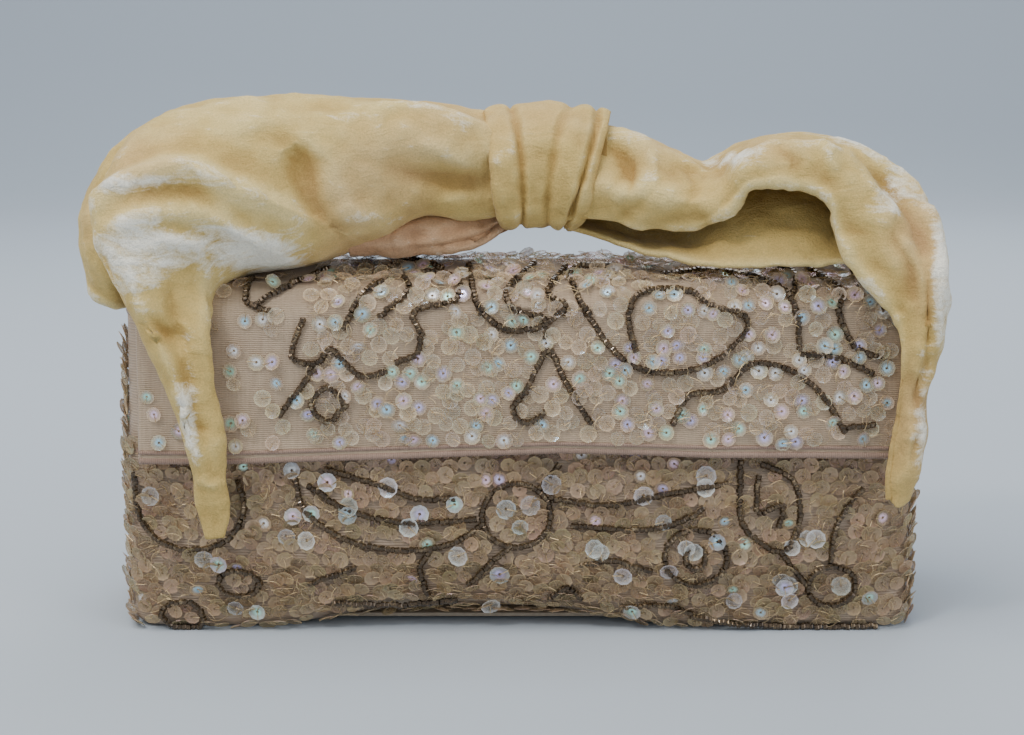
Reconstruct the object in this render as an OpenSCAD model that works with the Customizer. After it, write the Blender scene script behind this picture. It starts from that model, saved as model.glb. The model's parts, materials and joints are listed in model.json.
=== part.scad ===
// Evening bag: a soft clutch with a sequined silk flap, boards and a satin lining,
// closed by a magnetic snap, and carried by a wide velvet sash with a wrapped knot
// and two hanging tails. X runs along the front, -Y is the front, Z is up.
// The origin is the centre of the base's underside.

/* [Body] */
// Width of the bag across the front
body_w = 230; // [190:1:280]
// Depth of the base from front to back
base_d = 60; // [50:1:76]
// Depth of the mouth from front to back
mouth_d = 42; // [34:1:52]
// Height of the front panel's top edge
front_h = 93; // [75:1:112]
// How far the back panel stands above the front panel
back_rise = 6; // [4:0.5:12]

/* [Layers] */
// Thickness of the silk shell with its interlining
shell_t = 1.2; // [0.8:0.1:2]
// Thickness of the stiffening boards
board_t = 1; // [0.6:0.1:1.6]
// Thickness of the satin lining
lining_t = 0.6; // [0.4:0.1:1]
// Height of the folded silk binding round the mouth
binding_h = 1.2; // [0.8:0.1:2]

/* [Flap] */
// Distance from the flap's side edge to the bag's side
flap_inset = 5; // [3:0.5:12]
// How far the flap's lip hangs below the front panel's top edge
lip_drop = 40.5; // [30:0.5:52]
// Space between the front panel and the flap's lip, where the snap sits
flap_gap = 4.6; // [4.2:0.1:8]
// Inner radius of the bend from the flap's top to its lip
bend_r = 8; // [6:0.5:12]
// Rise of the flap's top over the mouth
crown = 3; // [1:0.5:6]

/* [Closure] */
// Diameter of the snap's socket
snap_d = 18; // [14:1:22]
// Height of the snap's centre above the flap's lower edge
snap_up = 14; // [12:1:20]
// Thickness of the snap's socket
socket_t = 2.2; // [1.8:0.1:2.4]
// Diameter of the socket's recess
recess_d = 8; // [7:0.5:9]
// Height of the stud's boss
boss_h = 0.8; // [0.5:0.1:1]

/* [Pocket] */
// Width of the slip pocket
pocket_w = 110; // [70:5:150]
// Height of the slip pocket
pocket_h = 52; // [35:1:60]
// Space inside the slip pocket
pocket_gap = 1.6; // [1:0.1:3]

/* [Handle] */
// Finger gap between the flap's top and the knot
grip_gap = 9.5; // [7:0.5:25]
// Width of the knot's wrap
knot_w = 34; // [24:1:44]
// Height of the knot's wrap
knot_h = 38; // [30:1:50]
// Depth of the knot's wrap
knot_d = 34; // [30:1:40]
// Place of the knot's centre along the bag
knot_x = 8; // [-10:1:15]
// Radius of the gathered band inside the knot
band_r = 12; // [9:0.5:14]
// Height of the left wing's top above the flap
left_rise = 50; // [40:1:70]
// Height of the right wing's top above the flap
right_rise = 38; // [32:1:60]
// How far the sash's left fold stands out beyond the bag's side
left_out = 18; // [10:0.5:24]
// How far the sash's right fold stands out beyond the bag's side
right_out = 12; // [10:0.5:24]
// Length of the left tail below its bend
left_drop = 79; // [50:1:88]
// Length of the right tail below its bend
right_drop = 66; // [45:1:88]

/* [Embroidery] */
// Diameter of a sequin
sequin_d = 5; // [3:0.5:6]
// Diameter of a seed bead
bead_d = 2.1; // [1.5:0.1:3]

/* [Hidden] */
$fn = 48;

// Clearances between bodies that move past each other
move_gap = 0.4;
hinge_gap = 0.5;
// Clearance between the snap's boss and its recess, and round a washer in its layer
snap_clear = 0.2;
fit_gap = 0.05;
// How far a cutter passes beyond what it cuts, and the length of one that passes through a wall
over = 1;
through = 20;
// Thickness of a sequin, and of the anchor's stitched disc
sequin_t = 0.3;
anchor_t = 2.6;
anchor_r = 8;
// Gap left between the edge of a board and the seams around it
board_margin = 7;
// Height of the slip pocket above the floor
pocket_up = 14;
// Band without sequins or beads along each side of a panel
sewn_margin = 10;
// How far a bead sinks into the cloth it is sewn on
bead_sink = 0.2;
// Points on a bend of the flap, and sides of a soft solid
bend_steps = 12;
crown_steps = 10;
ring_sides = 20;

half_w = body_w / 2;
back_h = front_h + back_rise;
wall_t = shell_t + board_t + lining_t;
floor_z = wall_t;
board_w = body_w - 2 * (shell_t + board_margin);
mouth_z = front_h + binding_h;
inner_w = body_w - 2 * shell_t;
pocket_z = floor_z + pocket_up;
slope = (base_d - mouth_d) / 2 / back_h;
lean = atan(slope);

// The front face's y at a height; the back face is its mirror image
function face_y(z) = -base_d / 2 + slope * z;

// Hinge line of the flap, along the top of the back panel
flap_t = wall_t;
hinge_y = -face_y(back_h) - wall_t / 2;
hinge_z = back_h + hinge_gap + flap_t / 2;
flap_w = body_w - 2 * flap_inset;
lip_z = front_h - lip_drop;
piping_r = flap_t / 2;
piping_z = lip_z + piping_r;

// The snap's centre, its stud, and the washers in their holes in the boards
snap_z = lip_z + snap_up;
stud_d = snap_d - 3;
washer_d = snap_d - 4;
hole_d = washer_d + 2;

// Centre of the bend between the flap's top and its lip
bend_z = hinge_z + flap_t / 2 - bend_r - flap_t;
bend_y = face_y(bend_z) - flap_gap + bend_r / cos(lean);
bend_start = 70;
flap_top = hinge_z + flap_t / 2 + crown;
// How far the lip's outer face stands in front of the front panel
lip_out = flap_gap + flap_t / cos(lean);

function lip_y(z, out) = face_y(z) - flap_gap - out / cos(lean);
function bend_point(out, a) = [bend_y, bend_z] + (bend_r + out) * [cos(a), sin(a)];

// The flap's profile in the YZ plane at a distance out from its inner face:
// the crown from the hinge to the bend, the bend, and the lip down to end_z
function crown_point(out, t) =
    let (from = [hinge_y, hinge_z - flap_t / 2 + out], to = bend_point(out, bend_start))
    from + t * (to - from) + [0, crown * 4 * t * (1 - t)];
function flap_line(out, end_z) = concat(
    [for (i = [0:crown_steps - 1]) crown_point(out, i / crown_steps)],
    [for (i = [0:bend_steps]) bend_point(out, bend_start + (180 - lean - bend_start) * i / bend_steps)],
    [[lip_y(end_z, out), end_z]]
);
function backwards(list) = [for (i = [len(list) - 1:-1:0]) list[i]];

// The knot, and what hangs from it
knot_y = -5;
// How far the sash stands in front of the flap's lip
sash_out = 7.5;
// Space between an anchor and the fold that hides it
fold_gap = 1;
knot_z = flap_top + grip_gap + knot_h / 2;
knot_left = knot_x - knot_w / 2;
knot_right = knot_x + knot_w / 2;
side_x = half_w + hinge_gap + anchor_t + move_gap + fold_gap;
wing_front = lip_y(front_h, flap_t) - sash_out;
wing_back = hinge_y - 2;
wing_low = flap_top + sequin_t + bead_d / 2 + move_gap;

// The tails: half their thickness, the line they turn on, and the depth they hang at
tail_r = 5;
roll_r = tail_r + 0.2;
tail_z = flap_top + 2;
tail_pivot_y = wing_front - 2;
tail_y = lip_y(lip_z, flap_t) - sequin_t - 1 - tail_r;

// A solid with the profile's y and z, drawn along X and centred on x
module across(w, x = 0) {
    translate([x, 0, 0]) rotate([90, 0, 90]) linear_extrude(w, center = true) children();
}

// A layer of the front wall, from one depth behind its face to another
module front_layer(from, to, z_low, z_high, w) {
    across(w) polygon([
        [face_y(z_low) + from, z_low], [face_y(z_low) + to, z_low],
        [face_y(z_high) + to, z_high], [face_y(z_high) + from, z_high],
    ]);
}

// What fills the space between the front and back walls at a depth
module between(depth, z_low, z_high, w, x = 0) {
    across(w, x) polygon([
        [face_y(z_low) + depth, z_low], [-face_y(z_low) - depth, z_low],
        [-face_y(z_high) - depth, z_high], [face_y(z_high) + depth, z_high],
    ]);
}

// Puts a child on the front face, with its own z pointing out of the bag
module on_front(x, z, out = 0) {
    translate([x, face_y(z) - out, z]) rotate([90 - lean, 0, 0]) children();
}

module to_back() {
    mirror([0, 1, 0]) children();
}

// A layer of the flap, between two distances out from its inner face
module flap_layer(from, to, end_z, w) {
    across(w) polygon(concat(flap_line(from, end_z), backwards(flap_line(to, end_z))));
}

// A closed soft solid through rings. Each ring is [place, centre, centre, radius, radius],
// in planes across X for loft_x and across Z for loft_z
function ring(c1, c2, r1, r2) =
    [for (i = [0:ring_sides - 1]) let (a = 360 * i / ring_sides) [c1 + r1 * cos(a), c2 + r2 * sin(a)]];
function skin_faces(rings) = concat(
    [[for (i = [ring_sides - 1:-1:0]) i]],
    [for (k = [0:rings - 2], i = [0:ring_sides - 1])
        let (a = k * ring_sides, j = (i + 1) % ring_sides)
        [a + i, a + j, a + ring_sides + j, a + ring_sides + i]],
    [[for (i = [0:ring_sides - 1]) (rings - 1) * ring_sides + i]]
);
// Rings between the given ones, on a smooth curve through them
function smooth(a, b, c, d, t) =
    0.5 * (2 * b + (c - a) * t + (2 * a - 5 * b + 4 * c - d) * t * t + (3 * b - a - 3 * c + d) * t * t * t);
ring_steps = 4;
function refined(s) = concat(
    [for (k = [0:len(s) - 2], i = [0:ring_steps - 1])
        smooth(s[max(k - 1, 0)], s[k], s[k + 1], s[min(k + 2, len(s) - 1)], i / ring_steps)],
    [s[len(s) - 1]]
);
function rising(s) = s[0][0] < s[len(s) - 1][0] ? s : backwards(s);
module loft_x(stations) {
    rings = rising(refined(stations));
    points = [for (s = rings, p = ring(s[1], s[2], s[3], s[4])) [s[0], p[0], p[1]]];
    polyhedron(points, [for (f = skin_faces(len(rings))) backwards(f)]);
}
module loft_z(stations) {
    rings = rising(refined(stations));
    points = [for (s = rings, p = ring(s[1], s[2], s[3], s[4])) [p[0], p[1], s[0]]];
    polyhedron(points, [for (f = skin_faces(len(rings))) backwards(f)]);
}
// A ring that reaches from one y to another and from one z to another
function spanning(x, y0, y1, z0, z1) = [x, (y0 + y1) / 2, (z0 + z1) / 2, (y1 - y0) / 2, (z1 - z0) / 2];

module front_panel() {
    color("thistle") front_layer(0, shell_t, shell_t, front_h, body_w);
}

module back_panel() {
    color("thistle") to_back() front_layer(0, shell_t, shell_t, back_h, body_w);
}

module base_panel() {
    color("thistle") translate([-half_w, -base_d / 2, 0]) cube([body_w, base_d, shell_t]);
}

module gusset(side) {
    color("thistle") between(shell_t, shell_t, front_h, shell_t, side * (half_w - shell_t / 2));
}

module board_layer(z_high) {
    front_layer(shell_t, shell_t + board_t, shell_t + board_margin, z_high - board_margin, board_w);
}

module front_board() {
    color("tan") difference() {
        board_layer(front_h);
        on_front(0, snap_z) cylinder(d = hole_d, h = through, center = true);
    }
}

module back_board() {
    color("tan") to_back() board_layer(back_h);
}

module base_board() {
    color("tan") between(shell_t + board_margin, shell_t, shell_t + board_t, board_w);
}

module front_lining() {
    color("antiquewhite") front_layer(shell_t + board_t, wall_t, floor_z, front_h, inner_w);
}

module back_lining() {
    color("antiquewhite") to_back() front_layer(shell_t + board_t, wall_t, floor_z, back_h, inner_w);
}

module base_lining() {
    color("antiquewhite") between(shell_t + board_t, shell_t + board_t, floor_z, inner_w);
}

module side_lining(side) {
    color("antiquewhite") between(wall_t, floor_z, front_h, lining_t, side * (inner_w - lining_t) / 2);
}

// A folded strip that covers the raw edges of the front and the gussets
module mouth_binding() {
    rim_t = shell_t + lining_t;
    color("rosybrown") {
        front_layer(0, wall_t, front_h, mouth_z, body_w);
        for (side = [-1, 1]) between(wall_t, front_h, mouth_z, rim_t, side * (half_w - rim_t / 2));
    }
}

module inner_pocket() {
    top_z = pocket_z + pocket_h;
    color("antiquewhite") to_back() difference() {
        front_layer(wall_t, wall_t + pocket_gap + lining_t, pocket_z, top_z, pocket_w);
        front_layer(
            wall_t - over, wall_t + pocket_gap, pocket_z + lining_t, top_z + over, pocket_w - 2 * lining_t
        );
    }
}

module snap_socket() {
    color("silver") on_front(0, snap_z) difference() {
        cylinder(d = snap_d, h = socket_t);
        translate([0, 0, socket_t - boss_h - snap_clear]) cylinder(d = recess_d, h = socket_t);
    }
}

module socket_washer() {
    color("silver") on_front(0, snap_z) translate([0, 0, fit_gap - (shell_t + board_t) * cos(lean)])
        cylinder(d = washer_d, h = board_t * cos(lean) - 2 * fit_gap);
}

// Sequins in staggered rows on a face that leans like the front
module sequin_rows(w, z_low, z_high, out = 0) {
    pitch = 3 * sequin_d;
    rows = floor((z_high - z_low) / pitch);
    columns = floor(w / pitch);
    for (r = [0:rows], c = [0:columns - 1 - r % 2])
        on_front((c - (columns - 1 - r % 2) / 2) * pitch, z_low + r * pitch, out) difference() {
            cylinder(d = sequin_d, h = sequin_t);
            translate([0, 0, -over]) cylinder(d = sequin_d / 5, h = sequin_t + 2 * over);
        }
}

// Rings of seed beads, the heads of the embroidered flowers
beads = 8;
module bead_flowers(w, z, out = 0, flowers = 3) {
    flower_r = 0.68 * sequin_d;
    for (f = [0:flowers - 1], b = [0:beads - 1])
        let (a = 360 * b / beads, x = (f - (flowers - 1) / 2) * w / flowers)
        on_front(x + flower_r * cos(a), z + flower_r * sin(a), out) translate([0, 0, bead_d / 2 - bead_sink])
            rotate([90, 0, a]) cylinder(d = bead_d * 0.8, h = bead_d * 0.7, center = true);
}

module front_sequins() {
    color("seashell") sequin_rows(body_w - 2 * sewn_margin, sequin_d, lip_z - 2 * sequin_d);
}

module back_sequins() {
    color("seashell") to_back() sequin_rows(body_w - 2 * sewn_margin, sequin_d, back_h - 2 * sequin_d);
}

// Height of the rows of flowers, midway between two rows of sequins
flower_z = 5.5 * sequin_d;

module front_beads() {
    color("dimgray") bead_flowers(body_w - 2 * sewn_margin, flower_z);
}

module back_beads() {
    color("dimgray") to_back() bead_flowers(body_w - 2 * sewn_margin, flower_z + 3 * sequin_d);
}

module flap_shell() {
    color("mistyrose") {
        flap_layer(board_t + lining_t, flap_t, piping_z, flap_w);
        // The rolled back edge turns on the hinge line
        translate([0, hinge_y, hinge_z]) rotate([0, 90, 0]) difference() {
            cylinder(r = flap_t / 2, h = flap_w, center = true);
            translate([-flap_t, -2 * flap_t, -body_w]) cube([2 * flap_t, 2 * flap_t, 2 * body_w]);
        }
    }
}

module flap_board() {
    color("tan") difference() {
        flap_layer(lining_t, board_t + lining_t, piping_z, flap_w);
        on_front(0, snap_z) cylinder(d = hole_d, h = through, center = true);
    }
}

module flap_lining() {
    color("antiquewhite") flap_layer(0, lining_t, piping_z, flap_w);
}

// Half-round silk piping along the lip's lower edge
module flap_piping() {
    color("rosybrown") difference() {
        translate([0, lip_y(piping_z, flap_t / 2), piping_z]) rotate([0, 90, 0])
            cylinder(r = piping_r, h = flap_w, center = true);
        translate([-body_w, -base_d, piping_z]) cube([2 * body_w, base_d, flap_t]);
    }
}

module snap_stud() {
    stud_t = flap_gap * cos(lean) - socket_t - move_gap;
    color("silver") on_front(0, snap_z) {
        translate([0, 0, socket_t + move_gap]) cylinder(d = stud_d, h = stud_t);
        translate([0, 0, socket_t + move_gap - boss_h]) cylinder(d = recess_d - 3, h = boss_h);
    }
}

// A washer behind the stud, in the hole in the flap's board
module stud_washer() {
    color("silver") on_front(0, snap_z, flap_gap + lining_t / cos(lean)) translate([0, 0, fit_gap])
        cylinder(d = washer_d, h = board_t - 2 * fit_gap);
}

module flap_sequins() {
    color("seashell")
        sequin_rows(flap_w - 2 * sewn_margin, lip_z + flap_t + sequin_d, front_h - sequin_d, lip_out);
}

module flap_beads() {
    color("dimgray") bead_flowers(flap_w - 2 * sewn_margin, lip_z + flap_t + 2.5 * sequin_d, lip_out, 4);
}

// Stitched disc at the end of the flap's hinge line, which the sash turns on
module anchor(side) {
    color("burlywood") translate([side * flap_w / 2, hinge_y, hinge_z]) rotate([0, side * 90, 0]) {
        cylinder(r = flap_t / 2 - 2 * fit_gap, h = flap_inset + hinge_gap);
        translate([0, 0, flap_inset + hinge_gap]) cylinder(r = anchor_r, h = anchor_t);
    }
}

// A round core along the knot
module knot_core(r, w) {
    translate([knot_x, knot_y, knot_z]) rotate([0, 90, 0]) cylinder(r = r, h = w, center = true);
}

// The wrap round the gathered band. Each row gives the place along X and the shares of the
// wrap's depth and height that it reaches from the centre: each way, down and up
module knot_wrap() {
    rows = [[knot_left, 0.46, 0.47, 0.47], [knot_x, 0.5, 0.5, 0.5], [knot_right, 0.43, 0.45, 0.4]];
    color("navajowhite") difference() {
        loft_x([for (r = rows) spanning(
            r[0], knot_y - knot_d * r[1], knot_y + knot_d * r[1],
            knot_z - knot_h * r[2], knot_z + knot_h * r[3]
        )]);
        knot_core(band_r + 4 * fit_gap, 2 * knot_w);
    }
}

module gathered_band() {
    color("wheat") knot_core(band_r, knot_w);
}

// A wing of the sash from the knot's end to the bag's side. Each row gives the share of
// the way, the front and back y, and the low and high z of the cloth there
module wing(side, from_x, rows) {
    function at(share) = from_x + share * (side * side_x - from_x);
    color("navajowhite") loft_x([
        spanning(from_x, knot_y - band_r, knot_y + band_r, knot_z - band_r, knot_z + band_r),
        for (r = rows) spanning(at(r[0]), r[1], r[2], r[3], r[4]),
    ]);
}

module left_wing() {
    wing(-1, knot_left, [
        [0.22, knot_y - 21, knot_y + 17, wing_low + 6, flap_top + left_rise - 2],
        [0.55, wing_front + 4, wing_back, wing_low, flap_top + left_rise],
        [0.82, wing_front, wing_back, wing_low, flap_top + left_rise - 5],
        [1, wing_front + 2, wing_back, wing_low, flap_top + left_rise - 17],
    ]);
}

module right_wing() {
    wing(1, knot_right, [
        [0.2, knot_y - 17, knot_y + 15, wing_low + 5, flap_top + right_rise - 2],
        [0.4, wing_front + 7, wing_back, wing_low, flap_top + right_rise - 7],
        [0.7, wing_front + 2, wing_back, wing_low, flap_top + right_rise],
        [1, wing_front, wing_back, wing_low, flap_top + right_rise - 13],
    ]);
}

// The sash's end, folded down outside the bag's side and turning on the anchor
module end_fold(side, stand_out, z_low, z_high) {
    // How far the fold reaches in front of the hinge line and behind it
    reach_front = 36;
    reach_back = 6;
    // Share of the fold's thickness, and how far its rim is drawn in there
    rims = [[0, 0], [0.5, 1], [0.85, 6], [1, 15]];
    color("navajowhite") loft_x([
        for (r = rims) spanning(
            side * (side_x + r[0] * (stand_out - (side_x - half_w))),
            hinge_y - reach_front + r[1], hinge_y + reach_back - r[1], z_low + r[1], z_high - r[1]
        ),
    ]);
}

module left_fold() {
    end_fold(-1, left_out, hinge_z - 9, flap_top + left_rise - 19);
}

module right_fold() {
    end_fold(1, right_out, hinge_z - 33, flap_top + right_rise - 15);
}

// A tail hanging in front of the flap, from a roll that it turns on. Each row gives the
// share of the way down, the place along X from the bag's side, the half width, and the
// share of the thickness there
module tail(side, drop, rows) {
    roll_w = 2 * rows[0][2] + 1;
    color("navajowhite") translate([side * (half_w - rows[0][1]), tail_pivot_y, tail_z]) rotate([0, 90, 0])
        cylinder(r = roll_r, h = roll_w, center = true);
    color("navajowhite") loft_z([
        for (r = rows) [
            tail_z - r[0] * drop, side * (half_w - r[1]),
            r[0] == 0 ? tail_pivot_y : tail_y, r[2], r[3] * tail_r,
        ],
    ]);
}

module left_tail() {
    tail(-1, left_drop, [
        [0, 15, 15, 1], [0.27, 14, 13, 1], [0.5, 18, 10, 1],
        [0.75, 24, 7, 0.9], [0.93, 27, 5, 0.7], [1, 27, 3, 0.5],
    ]);
}

module right_tail() {
    tail(1, right_drop, [
        [0, 3, 9, 1], [0.3, -1, 8, 1], [0.58, -2, 6, 0.8],
        [0.8, 2, 7, 0.8], [0.94, 4, 5, 0.7], [1, 4, 3, 0.5],
    ]);
}

front_panel();
back_panel();
base_panel();
gusset(-1);  // left_gusset
gusset(1);  // right_gusset
front_board();
back_board();
base_board();
front_lining();
back_lining();
base_lining();
side_lining(-1);  // left_lining
side_lining(1);  // right_lining
mouth_binding();
inner_pocket();
snap_socket();
socket_washer();
front_sequins();
back_sequins();
front_beads();
back_beads();
flap_shell();
flap_board();
flap_lining();
flap_piping();
snap_stud();
stud_washer();
flap_sequins();
flap_beads();
anchor(-1);  // left_anchor
anchor(1);  // right_anchor
knot_wrap();
gathered_band();
left_wing();
right_wing();
left_fold();
right_fold();
left_tail();
right_tail();
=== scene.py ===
"""Evening bag: a soft sequined body and flap in ribbed silk, beaded scrolls, and a velvet sash handle."""
import json
import math

import bmesh
import bpy
import numpy as np
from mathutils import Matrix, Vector, noise


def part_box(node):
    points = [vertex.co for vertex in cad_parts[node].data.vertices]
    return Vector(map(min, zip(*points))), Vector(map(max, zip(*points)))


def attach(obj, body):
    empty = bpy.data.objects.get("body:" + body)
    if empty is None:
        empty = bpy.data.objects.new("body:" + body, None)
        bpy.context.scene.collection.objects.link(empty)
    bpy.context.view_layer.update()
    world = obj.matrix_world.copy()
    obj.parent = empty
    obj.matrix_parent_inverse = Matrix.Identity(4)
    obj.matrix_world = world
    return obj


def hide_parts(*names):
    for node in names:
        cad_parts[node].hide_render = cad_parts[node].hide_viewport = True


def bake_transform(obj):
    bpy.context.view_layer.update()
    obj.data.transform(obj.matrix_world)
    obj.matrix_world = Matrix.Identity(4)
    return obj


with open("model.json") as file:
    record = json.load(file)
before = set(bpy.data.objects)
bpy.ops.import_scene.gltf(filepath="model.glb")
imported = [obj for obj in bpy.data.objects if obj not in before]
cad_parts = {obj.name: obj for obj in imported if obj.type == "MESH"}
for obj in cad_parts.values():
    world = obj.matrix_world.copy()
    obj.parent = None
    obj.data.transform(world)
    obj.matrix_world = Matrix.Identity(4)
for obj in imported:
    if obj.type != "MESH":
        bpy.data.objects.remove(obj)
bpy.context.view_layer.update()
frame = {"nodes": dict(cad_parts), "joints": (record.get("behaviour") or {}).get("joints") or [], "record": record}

MM = 0.001
rng = np.random.default_rng(7)

# Sizes read from the frame, in millimetres
(_, base_high), (_, front_high), (_, back_high), (flap_low, flap_high), (knot_low, knot_high) = (
    np.array(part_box(node)) / MM
    for node in ("base_panel", "front_panel", "back_panel", "flap_shell", "knot_wrap")
)
flap_joint = next(joint for joint in frame["joints"] if joint["name"] == "flap_fold")
hinge_y, hinge_z = (flap_joint["pos_m"][axis] / MM for axis in (1, 2))

half_w = base_high[0]
half_d = base_high[1]
front_top = front_high[2]
back_top = back_high[2]
silk_t = 1.2
wall = 2.8
slope = (half_d + front_high[1] - silk_t) / front_top
flap_half = flap_high[0]
flap_gap = 4.6
bend_radius = 8
lean = math.atan(slope)
view_rise = math.radians(11)
full_turn = 2 * math.pi


def unit(vectors, axis=-1):
    """Vectors of length 1."""
    return vectors / np.maximum(np.linalg.norm(vectors, axis=axis, keepdims=True), 1e-9)


def circle(count):
    """Angles evenly round a full turn."""
    return np.linspace(0, full_turn, count, endpoint=False)


# ---------------------------------------------------------------- lines and surfaces

def smooth_through(points, count, closed=False):
    """A Catmull-Rom curve through rows of points, resampled to count rows."""
    points = np.asarray(points, float)
    rows = len(points)
    if closed:
        padded = np.concatenate([points[-1:], points, points[:2]])
        steps = np.linspace(0, rows, count, endpoint=False)
    else:
        padded = np.concatenate([2 * points[:1] - points[1:2], points, 2 * points[-1:] - points[-2:-1]])
        steps = np.linspace(0, rows - 1, count)
    first = np.minimum(steps.astype(int), rows - (1 if closed else 2))
    t = (steps - first).reshape((-1,) + (1,) * (points.ndim - 1))
    a, b, c, d = (padded[first + k] for k in range(4))
    return 0.5 * (2 * b + (c - a) * t + (2 * a - 5 * b + 4 * c - d) * t**2 + (3 * b - a - 3 * c + d) * t**3)


def run_along(line):
    """How far along a line each of its points lies."""
    return np.concatenate([[0], np.cumsum(np.linalg.norm(np.diff(line, axis=0), axis=-1))])


def read_at(marks, along, values):
    """Rows of values read at marks along a line."""
    return np.stack([np.interp(marks, along, column) for column in values.T], axis=1)


def spaced(points, step):
    """Points a step apart along a smooth curve through the given ones."""
    dense = smooth_through(points, 40 * len(points))
    along = run_along(dense)
    return read_at(np.arange(0, along[-1], step), along, dense)


def uneven(points, scale, seed):
    """Smooth noise from -1 to 1 at each point, at a scale in millimetres."""
    flat = points.reshape(-1, 3) / scale + seed * 17.3
    return np.array([noise.noise(Vector(p)) for p in flat]).reshape(points.shape[:-1])


def surface_normals(grid, around=False):
    """Unit normals of a grid of points."""
    if around:
        grid_u = np.roll(grid, -1, axis=1) - np.roll(grid, 1, axis=1)
    else:
        grid_u = np.gradient(grid, axis=1)
    grid_v = np.gradient(grid, axis=0)
    return unit(np.cross(grid_u, grid_v))


def in_scene(name, data):
    """An object of some data, linked to the scene."""
    made = bpy.data.objects.new(name, data)
    bpy.context.scene.collection.objects.link(made)
    return made


def give(piece, label, kind, values):
    """Writes a point attribute that a finish reads."""
    made = piece.data.attributes.new(label, kind, "POINT")
    made.data.foreach_set("color" if kind == "FLOAT_COLOR" else "value", values.astype(np.float32).ravel())


def new_piece(name, vertices, faces):
    """A mesh object at the origin from points in millimetres."""
    mesh = bpy.data.meshes.new(name)
    mesh.from_pydata([tuple(v) for v in np.asarray(vertices) * MM], [], faces)
    piece = in_scene(name, mesh)
    for face in mesh.polygons:
        face.use_smooth = True
    return piece


def outward(piece):
    """Turns all faces of a closed piece to point outwards."""
    work = bmesh.new()
    work.from_mesh(piece.data)
    bmesh.ops.remove_doubles(work, verts=work.verts, dist=0.00001)
    bmesh.ops.recalc_face_normals(work, faces=work.faces)
    work.to_mesh(piece.data)
    work.free()
    return piece


def grid_piece(name, grid, around=False, ends=False):
    """A surface through a grid of points, closed around and capped at its ends if asked."""
    rows, columns = grid.shape[:2]
    index = np.arange(rows * columns).reshape(rows, columns)
    last = columns if around else columns - 1
    faces = [
        (index[r, c], index[r, (c + 1) % columns], index[r + 1, (c + 1) % columns], index[r + 1, c])
        for r in range(rows - 1) for c in range(last)
    ]
    faces = [tuple(int(i) for i in face) for face in faces]
    if ends:
        faces.append(tuple(int(i) for i in index[0][::-1]))
        faces.append(tuple(int(i) for i in index[-1]))
    piece = new_piece(name, grid.reshape(-1, 3), faces)
    add_cloth_map(piece, grid)
    return piece


def add_cloth_map(piece, grid):
    """A UV map in metres along and across the cloth, which its weave follows."""
    columns = grid.shape[1]
    down, across = (
        np.concatenate([[0], np.cumsum(np.linalg.norm(np.diff(grid, axis=k), axis=2).mean(1 - k))])
        for k in (0, 1)
    )
    layer = piece.data.uv_layers.new(name="cloth")
    for loop in piece.data.loops:
        row, column = divmod(loop.vertex_index, columns)
        layer.data[loop.index].uv = (across[column] * MM, down[row] * MM)


def select_only(piece):
    bpy.ops.object.select_all(action="DESELECT")
    piece.select_set(True)
    bpy.context.view_layer.objects.active = piece


def apply_modifier(piece, kind, **settings):
    """Adds a modifier with its settings and applies it."""
    select_only(piece)
    modifier = piece.modifiers.new(kind.lower(), kind)
    for name, value in settings.items():
        setattr(modifier, name, value)
    bpy.ops.object.modifier_apply(modifier=modifier.name)
    return piece


def thicken(piece, thickness, offset=-1):
    """Gives a cloth surface its thickness, inwards or outwards."""
    return apply_modifier(piece, "SOLIDIFY", thickness=thickness * MM, offset=offset, use_even_offset=False)


# ---------------------------------------------------------------- finishes

class Value:
    """A shader socket that takes part in arithmetic."""

    def __init__(self, finish, socket):
        self.finish = finish
        self.socket = socket

    def maths(self, operation, first, second):
        return self.finish.node("ShaderNodeMath", {"operation": operation}, {0: first, 1: second})

    def __add__(self, other):
        return self.maths("ADD", self, other)

    __radd__ = __add__

    def __mul__(self, other):
        return self.maths("MULTIPLY", self, other)

    __rmul__ = __mul__


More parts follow.
